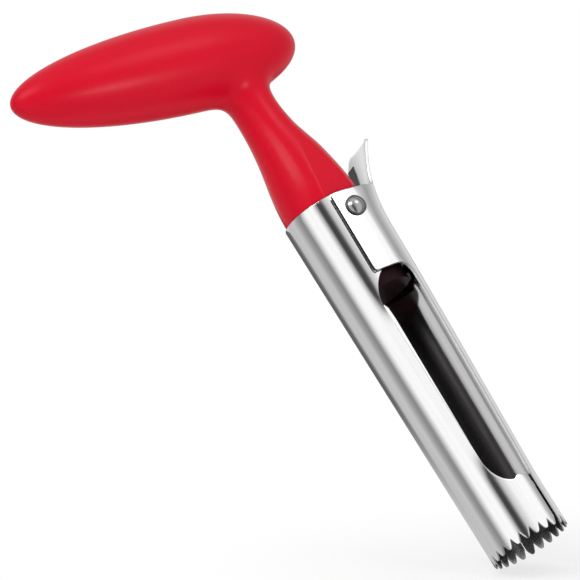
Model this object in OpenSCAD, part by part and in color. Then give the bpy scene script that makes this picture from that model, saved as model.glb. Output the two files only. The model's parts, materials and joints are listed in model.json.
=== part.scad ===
// Apple corer with a hinged release blade.
// Z runs along the coring tube from the tooth tips (z = 0) up to the handle.
// +X is the side of the release blade and its thumb tab, and the pivot lies along Y.

/* [Coring tube] */
// Outside diameter of the coring tube
tube_d = 23; // [20:0.5:28]
// Thickness of the sheet that both blades are pressed from
sheet_t = 0.8; // [0.6:0.1:1]
// Height of the tube's rim above the tooth tips
tube_h = 110; // [100:1:130]
// Depth of the seat in the top of the tube that takes the handle's plug
seat_depth = 29; // [24:1:32]

/* [Cutting edge] */
// Number of teeth round the whole mouth
tooth_count = 24; // [16:2:30]
// Height of the teeth
tooth_h = 2.5; // [1.5:0.1:3.5]
// Flat left on each tooth tip
tooth_tip = 0.4; // [0.3:0.05:0.8]
// Height of the mouth that is ground thin behind the teeth
mouth_h = 14; // [8:0.5:15]
// Depth ground off the inside of the mouth
mouth_cut = 0.2; // [0.2:0.05:0.3]

/* [Windows] */
// Height of the closed band above the tooth tips
band_h = 16; // [12:0.5:22]
// Height of the rounded lower corners of the windows
corner_h = 9; // [5:0.5:12]
// Width of the rounded lower corners on the fixed blade, seen from the side
corner_w = 5; // [3:0.5:8]
// Height of the rounded upper corners of the windows
arch_h = 11; // [6:0.5:14]
// Width of the rounded upper corners on the fixed blade, seen from the side
arch_w = 8.5; // [5:0.5:10]
// Width of the rounded upper corners on the release blade, seen from the side
ear_fillet_w = 4; // [2:0.5:6]
// Height of the rounded upper corners on the release blade
ear_fillet_h = 8; // [5:0.5:12]
// Angle that the back of the fixed blade spans beside the windows
back_angle = 114; // [90:1:140]
// Angle that the strip of the release blade spans beside the windows
strip_angle = 108; // [90:1:120]
// Angle that the release blade spans at the mouth
mouth_angle = 133; // [124:1:150]
// Gap left along each seam at the mouth
seam_gap = 0.4; // [0.3:0.05:0.8]

/* [Release blade] */
// How far the release blade leans out above the band, in degrees
lean = 1.5; // [1:0.1:2.5]
// Height of the lower edge of the ears
ear_z = 84.6; // [80:0.1:90]
// Drop from the tube's rim to the top edge of the ears
ear_drop = 0.7; // [0.5:0.1:3]
// Reach of the ears behind the pivot
ear_back = 5.4; // [3.5:0.1:6]
// Radius of the ears' free corners
ear_corner = 1.2; // [1:0.1:2.5]
// Gap between the tube and the ears
ear_gap = 0.3; // [0.3:0.05:0.6]

/* [Thumb tab] */
// Width of the thumb tab at its root
tab_w = 15; // [10:0.5:16]
// Width of the thumb tab at its tip
tab_tip_w = 13; // [8:0.5:14]
// Height of the thumb tab above the ears
tab_h = 13.5; // [8:0.1:15]
// How far the thumb tab flares out over its height
tab_flare = 7.2; // [4:0.1:8]
// Radius of the tab's corners
tab_corner = 0.8; // [0.5:0.1:3]
// Radius of the hollow corners where the tab leaves the ears
tab_root = 2; // [1:0.1:3]

/* [Pivot rivet] */
// Drop from the tube's rim to the pivot
pivot_drop = 6; // [5:0.5:9]
// Outside diameter of the rivet's barrel
barrel_d = 3; // [2.6:0.1:4]
// Diameter of the rivet's stud inside the barrel
stud_d = 1.8; // [1.2:0.1:2]
// How far the stud reaches into the barrel
stud_reach = 10; // [6:0.5:14]
// Diameter of the domed heads
head_d = 5; // [4.2:0.1:6.5]
// Height of the domed heads
head_h = 1.2; // [0.8:0.1:1.8]
// Diameter of the washers under the heads
washer_d = 6; // [5:0.1:7]
// Thickness of the washers
washer_t = 0.4; // [0.3:0.1:0.8]

/* [Return spring] */
// Width of the leaf spring
leaf_w = 4; // [3:0.5:5]
// Thickness of the leaf spring
leaf_t = 0.4; // [0.3:0.05:0.5]
// Length of the leaf held in the plug
leaf_held = 9.5; // [7:0.5:11]
// Height of the leaf's free tip above the tube's rim
leaf_rise = 8; // [2:0.5:9]

/* [Neck] */
// Diameter of the neck where it meets the tube's rim
neck_d = 22.6; // [18:0.1:23]
// Diameter of the neck's waist
waist_d = 12.9; // [11:0.1:16]
// Height of the waist above the tube's rim
waist_h = 33.5; // [28:0.5:38]
// Radius of the flare from the waist into the grip
flare_r = 24; // [18:1:40]
// Height of the flare above the waist, up inside the grip
flare_h = 9; // [6:0.5:10]

/* [Grip] */
// Length of the egg-shaped grip along its axis
grip_len = 89.3; // [75:0.5:100]
// Largest diameter of the grip
grip_d = 26.3; // [22:0.1:30]
// Distance from the blunt end to the largest diameter
grip_wide = 32.8; // [26:0.2:40]
// Distance from the tube's axis to the blunt end
grip_front = 21.5; // [16:0.5:28]
// Height of the blunt end above the tube's rim
grip_h = 48.5; // [44:0.5:54]
// Rise of the grip's axis towards its thin end, in degrees
grip_tilt = 8.5; // [0:0.5:12]
// Thickness of the soft skin
skin_t = 2; // [1.2:0.1:3]

/* [Fits] */
// Radial clearance of the turning pivot
pivot_clear = 0.05; // [0.03:0.01:0.08]
// Clearance between pieces that are fixed together
seat_clear = 0.05; // [0.03:0.01:0.1]
// Side play between each ear and its washer
ear_play = 0.1; // [0.05:0.05:0.3]
// Gap between the leaf's free tip and the thumb tab at rest
leaf_clear = 3.5; // [0.3:0.1:4]

/* [Hidden] */
$fn = 96;
red_skin = [0.84, 0.10, 0.18];
red_core = [0.62, 0.06, 0.12];
steel = [0.78, 0.79, 0.80];
dark_steel = [0.28, 0.28, 0.30];
rivet_steel = [0.70, 0.71, 0.73];
past = 1;
set_in = 0.02;
lap = 0.5;
curve_steps = 8;
neck_steps = 20;
grip_steps = 16;

tube_r = tube_d / 2;
bore_r = tube_r - sheet_t;
mouth_r = bore_r + mouth_cut;
seat_z = tube_h - seat_depth;
ear_in = tube_r + ear_gap;
ear_out = ear_in + sheet_t;
ear_top = tube_h - ear_drop;

pivot_z = tube_h - pivot_drop;
pivot_x = (pivot_z - band_h) * tan(lean);
ear_low = ear_z - band_h;
ear_high = ear_top - band_h;
barrel_r = barrel_d / 2;
stud_r = stud_d / 2;
pivot_hole_r = barrel_r + pivot_clear;
washer_y = ear_out + ear_play;
head_y = washer_y + washer_t;

seam_x = tube_r * cos(mouth_angle / 2);
back_x = -tube_r * cos(back_angle / 2);
strip_x = tube_r * cos(strip_angle / 2);
ear_fillet_x = ear_out * cos(strip_angle / 2) - ear_fillet_w;
corner_x = back_x + corner_w;
arch_x = back_x + arch_w;
arch_z = ear_z + ear_gap + sheet_t;

tab_slope = tab_flare / tab_h;
tab_wall = sheet_t * sqrt(1 + tab_slope * tab_slope);

leaf_x = sqrt(bore_r * bore_r - leaf_w * leaf_w / 4) - seat_clear - leaf_t / 2;
leaf_bend_z = pivot_z;
leaf_tip_z = tube_h + leaf_rise;
leaf_low_z = leaf_bend_z - leaf_held;
leaf_slot_w = leaf_w + 4 * seat_clear;

// Radius of the thumb tab's inner face at a height in the blade's leaning frame
function tab_inner_r(up) = ear_out + (up - ear_high) * tab_slope - tab_wall;

// Place of the tab's inner face on the symmetry plane at a height in the tube's frame
function tab_inner_x(z) =
    let (level = (z - band_h) / cos(lean))
    let (up = level + tab_inner_r(level) * tan(lean))
    up * sin(lean) + tab_inner_r(up) * cos(lean);
leaf_tip_x = tab_inner_x(leaf_tip_z) - leaf_clear - leaf_t;

// Radius of the neck at a height above the rim: a cosine ease down to the waist, then a flare
function neck_r(h) =
    h <= waist_h
        ? waist_d / 2 + (neck_d - waist_d) / 2 * (0.5 + 0.5 * cos(180 * h / waist_h))
        : waist_d / 2 + flare_r - sqrt(flare_r * flare_r - (h - waist_h) * (h - waist_h));

// Radius of the grip at a distance from its blunt end: two half ellipses that share the widest ring
function grip_r(t) =
    let (half = t < grip_wide ? grip_wide : grip_len - grip_wide)
    let (q = (t - grip_wide) / half)
    grip_d / 2 * sqrt(max(0, 1 - q * q));

// Points spread by cosine between two values, closer together at both ends
function spread(a, b, steps) = [for (i = [0 : steps]) a + (b - a) * (0.5 - 0.5 * cos(180 * i / steps))];

// A quarter ellipse round a centre, from its side point to its top or bottom point
function quarter(centre, rx, rz) =
    [for (i = [0 : curve_steps]) let (a = 90 * i / curve_steps) centre + [rx * cos(a), rz * sin(a)]];

// The neck grown inwards by a distance, as a solid of revolution up into the grip
module neck_body(inset) {
    heights = concat(
        [for (i = [0 : neck_steps]) waist_h * i / neck_steps],
        [for (i = [1 : curve_steps]) waist_h + flare_h * i / curve_steps]
    );
    translate([0, 0, tube_h])
        rotate_extrude()
            polygon(concat(
                [[0, 0]],
                [for (h = heights) [neck_r(h) - inset, h]],
                [[0, waist_h + flare_h]]
            ));
}

// The egg grown inwards by a distance, as a solid of revolution about its tilted axis
module grip_body(inset) {
    stations = concat(
        spread(0, grip_wide, grip_steps),
        [for (i = [1 : grip_steps]) grip_wide + (grip_len - grip_wide) * sin(90 * i / grip_steps)]
    );
    shrink = 1 - inset / (grip_d / 2);
    translate([grip_front, 0, tube_h + grip_h])
        rotate([0, grip_tilt - 90, 0])
            rotate_extrude()
                polygon([
                    for (t = stations)
                        [grip_r(t) * shrink, grip_wide + (t - grip_wide) * (1 - 2 * inset / grip_len)]
                ]);
}

// A bar along Y through the pivot, between two Y values
module pivot_bar(r, y_from, y_to) {
    translate([pivot_x, y_from, pivot_z])
        rotate([-90, 0, 0])
            cylinder(r = r, h = y_to - y_from);
}

// A domed head on the side given by its sign, on a flat base against the washer
module domed_head(side) {
    dome_r = (head_h * head_h + head_d * head_d / 4) / (2 * head_h);
    translate([pivot_x, side * head_y, pivot_z])
        rotate([-90 * side, 0, 0])
            intersection() {
                translate([0, 0, head_h - dome_r])
                    sphere(r = dome_r);
                cylinder(d = head_d + past, h = head_h + past);
            }
}

// A prism along Y from an outline drawn in the XZ plane
module side_prism(outline, width) {
    rotate([90, 0, 0])
        linear_extrude(height = width, center = true)
            polygon(outline);
}

// Notches between the teeth, each a prism along a radius with hollow flanks and a sharp top
module tooth_notches() {
    pitch = 2 * PI * tube_r / tooth_count;
    half = (pitch - tooth_tip) / 2;
    flank = [for (i = [-curve_steps / 2 : curve_steps / 2])
        let (u = 2 * i / curve_steps)
        [half * u, tooth_h * (1 - sin(90 * abs(u)))]];
    for (k = [0 : tooth_count - 1])
        rotate([0, 0, 360 * (k + 0.5) / tooth_count])
            translate([bore_r - past, 0, 0])
                rotate([90, 0, 90])
                    linear_extrude(height = sheet_t + 2 * past)
                        polygon(concat([[-half, -past]], flank, [[half, -past]]));
}

// Mouth of the tube as a whole ring: ground thin inside and notched into teeth
module mouth_cuts() {
    translate([0, 0, -past])
        cylinder(r = mouth_r, h = mouth_h + past);
    tooth_notches();
}

// Tube seated on the plug: full ring at the rim, open in front, closed band at the mouth
module fixed_blade() {
    low = quarter([corner_x, band_h + corner_h], -corner_w, -corner_h);
    arch = quarter([arch_x, arch_z - arch_h], -arch_w, arch_h);
    front = concat(
        [[seam_x, -past], [seam_x, band_h]],
        [for (i = [0 : curve_steps]) low[curve_steps - i]],
        arch,
        [[tube_d, arch_z], [tube_d, -past]]
    );
    color(steel)
        difference() {
            cylinder(r = tube_r, h = tube_h);
            translate([0, 0, -past])
                cylinder(r = bore_r, h = tube_h + 2 * past);
            side_prism(front, 2 * tube_d);
            mouth_cuts();
            pivot_bar(pivot_hole_r, -tube_d, tube_d);
            translate([0, -leaf_slot_w / 2, leaf_bend_z - leaf_t])
                cube([tube_d, leaf_slot_w, tube_h]);
        }
}

// Sector of the mouth in front of the seams, upright like the fixed blade's band
module blade_mouth() {
    difference() {
        cylinder(r = tube_r, h = band_h);
        translate([0, 0, -past])
            cylinder(r = bore_r, h = band_h + 2 * past);
        translate([seam_x + seam_gap - 2 * tube_d, -tube_d, -past])
            cube([2 * tube_d, 2 * tube_d, band_h + 2 * past]);
        mouth_cuts();
    }
}

// The leaning frame of the release blade, which starts on the tube's axis at the top of the band
module blade_frame() {
    translate([0, 0, band_h])
        rotate([0, lean, 0])
            children();
}

// Strip between the band and the ears: a slow cone set into both, drawn in beside the windows
module blade_strip() {
    low_x = seam_x + seam_gap + set_in;
    low = quarter([low_x, corner_h], strip_x - low_x, -corner_h);
    high = quarter([ear_fillet_x, ear_low - ear_fillet_h], ear_fillet_w, ear_fillet_h);
    front = concat(
        [for (i = [0 : curve_steps]) low[curve_steps - i]],
        high,
        [[ear_fillet_x, ear_low + past], [tube_d, ear_low + past], [tube_d, 0]]
    );
    intersection() {
        rotate_extrude()
            polygon([
                [bore_r + set_in, 0],
                [tube_r - set_in, 0],
                [ear_out, ear_low],
                [ear_out - set_in, ear_low + lap],
                [ear_in + set_in, ear_low + lap],
                [ear_in, ear_low]
            ]);
        side_prism(front, 2 * tube_d);
    }
}

// Channel above the windows: half a ring in front and a flat ear on each side of the pivot
module blade_channel() {
    ear_h = ear_high - ear_low;
    intersection() {
        translate([0, 0, ear_low])
            linear_extrude(height = ear_h) {
                intersection() {
                    difference() {
                        circle(r = ear_out);
                        circle(r = ear_in);
                    }
                    translate([0, -tube_d])
                        square([tube_d, 2 * tube_d]);
                }
                for (side = [0, 1])
                    mirror([0, side])
                        translate([-ear_back, ear_in])
                            square([ear_back, sheet_t]);
            }
        translate([0, 0, ear_low])
            rotate([90, 0, 0])
                linear_extrude(height = 2 * tube_d, center = true) {
                    translate([-ear_back, ear_corner])
                        square([tube_d + ear_back, ear_h - 2 * ear_corner]);
                    translate([ear_corner - ear_back, 0])
                        square([tube_d + ear_back - ear_corner, ear_h]);
                    for (z = [ear_corner, ear_h - ear_corner])
                        translate([ear_corner - ear_back, z])
                            circle(r = ear_corner);
                }
    }
}

// Thumb tab: a flared sector set into the channel's front, narrowing to a tip with round corners
module blade_tab() {
    tip_in = tab_tip_w / 2 - tab_corner;
    tip_z = ear_high + tab_h;
    bend_h = (tab_wall - sheet_t) / tab_slope;
    root = quarter([tab_w / 2 + tab_root, ear_high + tab_root], -tab_root, -tab_root);
    edge = concat(
        [[tab_tip_w / 2, tip_z - tab_corner]],
        root,
        [[tab_w / 2 + tab_root, ear_high - lap]]
    );
    last = len(edge) - 1;
    intersection() {
        rotate_extrude()
            polygon([
                [ear_in + set_in, ear_high - lap],
                [ear_out - set_in, ear_high - lap],
                [ear_out, ear_high],
                [ear_out + tab_flare, tip_z],
                [ear_out + tab_flare - tab_wall, tip_z],
                [ear_in + set_in, ear_high + bend_h]
            ]);
        rotate([90, 0, 90])
            linear_extrude(height = 2 * tube_d) {
                polygon(concat(
                    edge,
                    [for (i = [0 : last]) [-edge[last - i].x, edge[last - i].y]]
                ));
                translate([-tip_in, tip_z - 2 * tab_corner])
                    square([2 * tip_in, 2 * tab_corner]);
                for (y = [-tip_in, tip_in])
                    translate([y, tip_z - tab_corner])
                        circle(r = tab_corner);
            }
    }
}

// Hinged half of the tube with its two ears and its thumb tab
module release_blade() {
    color(steel)
        difference() {
            union() {
                blade_mouth();
                blade_frame() {
                    blade_strip();
                    blade_channel();
                    blade_tab();
                }
            }
            pivot_bar(pivot_hole_r, -tube_d, tube_d);
        }
}

// Leaf spring: held flat in the plug, then bent out through the rim to the thumb tab
module return_spring() {
    run = leaf_tip_x - leaf_x;
    rise = leaf_tip_z - leaf_bend_z;
    across = leaf_t / 2;
    skew = leaf_t / 2 * sqrt(run * run + rise * rise) / rise;
    color(dark_steel)
        side_prism([
            [leaf_x - across, leaf_low_z],
            [leaf_x + across, leaf_low_z],
            [leaf_x + across, leaf_bend_z],
            [leaf_tip_x + skew, leaf_tip_z],
            [leaf_tip_x - skew, leaf_tip_z],
            [leaf_x - across, leaf_bend_z]
        ], leaf_w);
}

// Rigid moulding: grip core, neck core and the plug that seats in the tube
module handle_core() {
    color(red_core)
        difference() {
            union() {
                grip_body(skin_t);
                neck_body(skin_t);
                translate([0, 0, seat_z])
                    cylinder(r = bore_r - seat_clear, h = seat_depth);
            }
            pivot_bar(pivot_hole_r, -tube_d, tube_d);
            translate([leaf_x - leaf_t / 2 - seat_clear, -leaf_slot_w / 2, leaf_low_z - seat_clear])
                cube([tube_d, leaf_slot_w, tube_h - leaf_low_z + seat_clear]);
        }
}

// Soft skin over the core, from the tube's rim to the thin end of the grip
module grip_skin() {
    color(red_skin)
        difference() {
            union() {
                grip_body(0);
                neck_body(0);
            }
            grip_body(skin_t - seat_clear);
            neck_body(skin_t - seat_clear);
        }
}

// Hollow half of the rivet: far head and the barrel that the ears turn on
module rivet_barrel() {
    color(rivet_steel)
        difference() {
            union() {
                domed_head(1);
                pivot_bar(barrel_r, -head_y, head_y);
            }
            pivot_bar(stud_r + seat_clear, -head_y - past, -head_y + stud_reach + past);
        }
}

// Solid half of the rivet: near head and the stud pressed into the barrel
module rivet_stud() {
    color(rivet_steel)
        union() {
            domed_head(-1);
            pivot_bar(stud_r, -head_y, -head_y + stud_reach);
        }
}

// One washer under each rivet head
module rivet_washers() {
    color(steel)
        for (side = [0, 1])
            mirror([0, side, 0])
                difference() {
                    pivot_bar(washer_d / 2, washer_y, head_y);
                    pivot_bar(pivot_hole_r, washer_y - past, head_y + past);
                }
}

grip_skin();
handle_core();
fixed_blade();
release_blade();
return_spring();
rivet_barrel();
rivet_stud();
rivet_washers();
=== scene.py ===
import json
import math

import bmesh
import bpy
import numpy as np
from mathutils import Matrix, Vector


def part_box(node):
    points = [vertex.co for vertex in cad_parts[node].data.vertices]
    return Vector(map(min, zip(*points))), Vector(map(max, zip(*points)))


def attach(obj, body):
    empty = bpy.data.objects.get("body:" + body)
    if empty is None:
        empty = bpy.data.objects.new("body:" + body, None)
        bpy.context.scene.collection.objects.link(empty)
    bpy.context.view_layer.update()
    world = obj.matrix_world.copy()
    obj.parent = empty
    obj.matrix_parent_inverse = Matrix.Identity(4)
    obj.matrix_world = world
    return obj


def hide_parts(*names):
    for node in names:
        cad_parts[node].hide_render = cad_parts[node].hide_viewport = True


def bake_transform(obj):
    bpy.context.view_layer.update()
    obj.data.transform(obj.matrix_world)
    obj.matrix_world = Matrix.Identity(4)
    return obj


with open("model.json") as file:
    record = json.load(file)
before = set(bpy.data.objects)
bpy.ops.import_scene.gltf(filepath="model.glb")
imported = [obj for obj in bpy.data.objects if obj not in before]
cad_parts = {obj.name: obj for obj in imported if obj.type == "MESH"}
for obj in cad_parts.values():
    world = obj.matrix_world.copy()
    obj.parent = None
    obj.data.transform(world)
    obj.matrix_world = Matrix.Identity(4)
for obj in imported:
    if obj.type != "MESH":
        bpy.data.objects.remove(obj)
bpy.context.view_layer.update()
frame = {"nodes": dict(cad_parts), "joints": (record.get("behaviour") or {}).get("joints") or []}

# Fixed blade: the coring tube, rolled from thin stainless sheet and polished along its length.
# A whole ring at the top seats on the handle's plug, both sides are cut away as windows, and the
# mouth is cut into round teeth with sharp notches and ground thin on the inside.
mm = 0.001
half_pi = math.pi / 2
tube_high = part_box("fixed_blade")[1]
tube_r = tube_high.x
tube_h = tube_high.z
sheet_t = 0.8 * mm
edge_round, edge_round_steps = 0.09 * mm, 4
tooth_count, columns_per_tooth = 24, 12
tooth_h, tooth_tip = 2.5 * mm, 0.4 * mm
tooth_pitch = 2 * math.pi / tooth_count
mouth_h, mouth_cut, mouth_ease = 14 * mm, 0.2 * mm, 0.4 * mm
edge_grind_h, edge_grind = 3.5 * mm, 0.2 * mm
band_h = 16 * mm
corner_w, corner_h = 5.7 * mm, 9 * mm
arch_w, arch_h = 8.5 * mm, 11 * mm
arch_z = 85.7 * mm
back_turn = math.radians(180 - 60.5)
seam_turn = math.radians(67.3)
back_x = tube_r * math.cos(back_turn)
seam_x = tube_r * math.cos(seam_turn)
flat_span = math.radians(12.5)
flat_low, flat_low_full = band_h + 3 * mm, band_h + 14 * mm
flat_high, flat_high_full = 80 * mm, 68 * mm
leaf_slot_half, leaf_slot_z = 2.1 * mm, 103.6 * mm
leaf_slot_turn = math.asin(leaf_slot_half / (tube_r - sheet_t))
shoulder_rise, shoulder_fall = 0.9 * mm, 1.6 * mm
shoulder_from, shoulder_top, shoulder_to = -0.8 * mm, 1.2 * mm, 5.5 * mm
rows_below, rows_above = 10, 4
mouth_rows = rows_below + 2 + rows_above
side_rows, ring_rows, slot_rows = 24, 8, 4
column_gap = math.radians(0.5)
hair = 1e-9
pivot = Vector(frame["joints"][0]["pos_m"])
barrel_d, running_gap = 3 * mm, 0.05 * mm
hole_r = barrel_d / 2 + running_gap
hole_steps, drill_reach = 48, 16 * mm
outside, inside, cut_rim, rim_edge, ground_shaded = range(5)


def tooth_edge(turn):
    """Height of the serrated edge at turns round the tube."""
    from_notch = np.abs((np.asarray(turn) / tooth_pitch) % 1 - 0.5) * tooth_pitch
    half = tooth_pitch / 2 - tooth_tip / tube_r / 2
    return tooth_h * (1 - np.sin(half_pi * np.minimum(1, from_notch / half)))


def round_corner(x, side_x, side_z, width, height):
    """Height along a quarter ellipse that leaves an upright side at side_x and levels out after its width."""
    share = np.clip((np.asarray(x) - side_x) / width, 0, 1)
    return side_z + height * np.sqrt(1 - (1 - share) ** 2)


def smooth_step(low, high, value):
    """A share that eases from nought at low to one at high."""
    share = np.clip((np.asarray(value, float) - low) / (high - low), 0, 1)
    return share * share * (3 - 2 * share)


def shares(rows):
    """Even shares from nought to one, for the rows of a grid."""
    return np.linspace(0, 1, rows + 1)[:, None]


def settle_columns(must, fill, gap):
    """Sorted places of a sheet's columns: all of must, and those of fill that keep a gap to the rest."""
    kept = list(must)
    for place in fill:
        if min(abs(place - other) for other in kept) > gap:
            kept.append(place)
    return np.array(sorted(kept))


def bridge(lower, upper):
    """Four-cornered faces between two loops of as many points."""
    count = len(lower)
    return [[lower[i], lower[(i + 1) % count], upper[(i + 1) % count], upper[i]] for i in range(count)]


def put_in_scene(name, data):
    """A new object that holds the data."""
    thing = bpy.data.objects.new(name, data)
    bpy.context.scene.collection.objects.link(thing)
    return thing


def sheet_mesh(name, outer, inner, cells, closed=False):
    """A sheet with rounded edges, from grids of its two faces and the cells that it fills.

    Its faces are numbered as outside, inside, cut_rim and rim_edge, for their finishes.
    """
    rows, cols = outer.shape[:2]
    top, bottom = outer.reshape(-1, 3), inner.reshape(-1, 3)
    under = rows * cols

    def filled(r, c):
        if closed:
            c = c % cols
        return 0 <= r < cells.shape[0] and 0 <= c < cells.shape[1] and cells[r, c]

    quads, rims = [], []
    for r, c in zip(*np.nonzero(cells)):
        after = (c + 1) % cols
        quad = [r * cols + c, r * cols + after, (r + 1) * cols + after, (r + 1) * cols + c]
        quads.append(quad)
        for side, (r2, c2) in enumerate([(r - 1, c), (r, c + 1), (r + 1, c), (r, c - 1)]):
            if not filled(r2, c2):
                rims.append((quad[side], quad[(side + 1) % 4]))
    rims = np.array(rims)
    thick = np.linalg.norm(top - bottom, axis=1, keepdims=True)
    normal = (top - bottom) / thick
    run = top[rims[:, 1]] - top[rims[:, 0]]
    run /= np.linalg.norm(run, axis=1, keepdims=True)
    outward = np.zeros_like(top)
    for end in (0, 1):
        np.add.at(outward, rims[:, end], np.cross(run, normal[rims[:, end]]))
    edge = np.unique(rims)
    outward = outward[edge] / np.linalg.norm(outward[edge], axis=1, keepdims=True)
    up = normal[edge]
    turn = np.linspace(0, half_pi, edge_round_steps)
    profile = []
    for a in turn:
        profile.append(top[edge] + edge_round * ((math.sin(a) - 1) * outward + (math.cos(a) - 1) * up))
    for a in turn:
        profile.append(bottom[edge] + edge_round * ((math.cos(a) - 1) * outward + (1 - math.sin(a)) * up))
    steps = len(profile)
    place = np.zeros(under, int)
    place[edge] = np.arange(len(edge))
    points = np.concatenate([top, bottom, *profile])
    points[edge] = profile[0]
    points[under + edge] = profile[-1]

    def rim_point(vertex, step):
        if step == 0:
            return vertex
        if step == steps - 1:
            return vertex + under
        return 2 * under + step * len(edge) + place[vertex]

    faces, finishes = [], []
    for quad in quads:
        faces += [quad, [v + under for v in reversed(quad)]]
        finishes += [outside, inside]
    for a, b in rims:
        for k in range(steps - 1):
            faces.append([rim_point(b, k), rim_point(a, k), rim_point(a, k + 1), rim_point(b, k + 1)])
            finishes.append(cut_rim if k == edge_round_steps - 1 else rim_edge)
    used, faces = np.unique(np.array(faces), return_inverse=True)
    mesh = bpy.data.meshes.new(name)
    mesh.from_pydata(points[used].tolist(), [], faces.reshape(-1, 4).tolist())
    mesh.polygons.foreach_set("material_index", finishes)
    mesh.polygons.foreach_set("use_smooth", [True] * len(mesh.polygons))
    piece = put_in_scene(name, mesh)
    shading = piece.modifiers.new("flat_faces", "WEIGHTED_NORMAL")
    shading.weight = 100
    return piece


def drill_pivot(blade):
    """Drill the pivot's two holes through a blade."""
    ring = np.arange(hole_steps) * 2 * math.pi / hole_steps
    points = []
    for y in (drill_reach, -drill_reach):
        points += [(pivot.x + hole_r * math.cos(a), y, pivot.z + hole_r * math.sin(a)) for a in ring]
    near, far = list(range(hole_steps)), list(range(hole_steps, 2 * hole_steps))
    mesh = bpy.data.meshes.new("drill")
    mesh.from_pydata(points, [], [near[::-1], far, *bridge(near, far)])
    drill = put_in_scene("drill", mesh)
    hole = blade.modifiers.new("pivot_hole", "BOOLEAN")
    hole.object = drill
    hole.solver = "EXACT"
    blade.modifiers.move(1, 0)
    with bpy.context.temp_override(object=blade, active_object=blade):
        bpy.ops.object.modifier_apply(modifier="pivot_hole")
    bpy.data.objects.remove(drill)
    bpy.data.meshes.remove(mesh)


def grow_node(tree, kind, links=(), **values):
    """A shader node with its sockets set by name, linked from (output socket, input name) pairs."""
    node = tree.nodes.new(kind)
    for name, value in values.items():
        if name in node.bl_rna.properties and not name[0].isupper():
            setattr(node, name, value)
        else:
            node.inputs[name.replace("_", " ")].default_value = value
    for output, name in links:
        tree.links.new(output, node.inputs[name])
    return node


def new_finish(name):
    """A material with an empty tree and its output, ready for a finish."""
    finish = bpy.data.materials.new(name)
    finish.use_nodes = True
    tree = finish.node_tree
    tree.nodes.clear()
    return finish, tree, tree.nodes.new("ShaderNodeOutputMaterial")


def polished_steel(name, colour, grain, low_rough, high_rough, grain_depth):
    """Polished steel with fine grain lines, stretched along the axis whose entry in grain is small."""
    finish, tree, output = new_finish(name)
    place = grow_node(tree, "ShaderNodeTexCoord").outputs["Object"]
    stretch = grow_node(tree, "ShaderNodeMapping", [(place, "Vector")], Scale=grain)
    lines = grow_node(
        tree, "ShaderNodeTexNoise", [(stretch.outputs[0], "Vector")], Scale=1.0, Detail=5.0, Roughness=0.65
    ).outputs["Fac"]
    smears = grow_node(tree, "ShaderNodeTexNoise", [(place, "Vector")], Scale=90.0, Detail=3.0)
    mixed = grow_node(
        tree, "ShaderNodeMath", [(lines, 0), (smears.outputs["Fac"], 1)], operation="ADD"
    )
    rough = grow_node(
        tree,
        "ShaderNodeMapRange",
        [(mixed.outputs[0], "Value")],
        From_Min=0.6,
        From_Max=1.4,
        To_Min=low_rough,
        To_Max=high_rough,
    )
    tint = grow_node(tree, "ShaderNodeValToRGB", [(lines, "Fac")])
    dark, light = tint.color_ramp.elements
    dark.position, light.position = 0.3, 0.7
    dark.color = [0.93 * c for c in colour] + [1]
    light.color = list(colour) + [1]
    bump = grow_node(tree, "ShaderNodeBump", [(lines, "Height")], Strength=1.0, Distance=grain_depth)
    shade = grow_node(
        tree,
        "ShaderNodeBsdfPrincipled",
        [(tint.outputs["Color"], "Base Color"), (rough.outputs[0], "Roughness"), (bump.outputs[0], "Normal")],
        Metallic=1.0,
    )
    tree.links.new(shade.outputs[0], output.inputs["Surface"])
    return finish


blade_steel = polished_steel("blade_steel", (0.98, 0.98, 0.98), (1400, 1400, 25), 0.08, 0.14, 0.0005 * mm)
# The tube's inside is rougher and painted near black, as painted shade inside the tube.
inner_shade_steel = polished_steel("inner_steel_painted_shade", (0.05, 0.046, 0.046), (900, 900, 60), 0.3, 0.45, 0.001 * mm)
cut_steel = polished_steel("cut_steel", (0.9, 0.9, 0.91), (300, 300, 2500), 0.36, 0.5, 0.002 * mm)
# The rounded steps of every rim are painted dark grey, as painted shade along the edges.
rim_edge_shade_steel = polished_steel("rim_edge_shade_steel", (0.3, 0.3, 0.31), (600, 600, 600), 0.36, 0.5, 0.001 * mm)
# The mouth's grinding finish, smoother and painted dark as painted shade inside the mouth and on the tooth
# rims.
ground_shade_steel = polished_steel("ground_shade_steel", (0.36, 0.36, 0.365), (300, 300, 2500), 0.18, 0.3, 0.001 * mm)

tooth_turns = np.arange(tooth_count * columns_per_tooth) * tooth_pitch / columns_per_tooth - math.pi
notch_turns = tooth_turns[columns_per_tooth // 2 :: columns_per_tooth]
corner_bend = np.linspace(0, half_pi, 14)
corner_cuts = np.arccos((back_x + corner_w * (1 - np.cos(corner_bend))) / tube_r)
turns = settle_columns(
    [seam_turn, -seam_turn, leaf_slot_turn, -leaf_slot_turn, *corner_cuts, *-corner_cuts],
    [*notch_turns, *tooth_turns],
    column_gap,
)
columns_x = tube_r * np.cos(turns)
tooth_z = tooth_edge(turns)
low_z = band_h + corner_h - round_corner(columns_x, back_x, 0, corner_w, corner_h)
low_z += shoulder_rise * smooth_step(shoulder_from, shoulder_top, columns_x)
low_z -= shoulder_fall * smooth_step(shoulder_top, shoulder_to, columns_x)
high_z = round_corner(columns_x, back_x, arch_z - arch_h, arch_w, arch_h)


def mouth_levels(edge, top):
    """Heights of the rows from the teeth to the top of a mouth, with close rows where its grinding starts."""
    step = mouth_h + mouth_ease * np.array([[-1], [0], [1]])
    below = edge + (step[0] - edge) * shares(rows_below)[:-1]
    above = step[2] + (top - step[2]) * shares(rows_above)[1:]
    return np.concatenate([below, step + 0 * edge, above])


levels = np.concatenate(
    [
        mouth_levels(tooth_z, low_z),
        low_z + (high_z - low_z) * shares(side_rows)[1:-1],
        high_z + (leaf_slot_z - high_z) * shares(ring_rows),
        leaf_slot_z + (tube_h - leaf_slot_z) * shares(slot_rows)[1:] + 0 * high_z,
    ]
)


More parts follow.
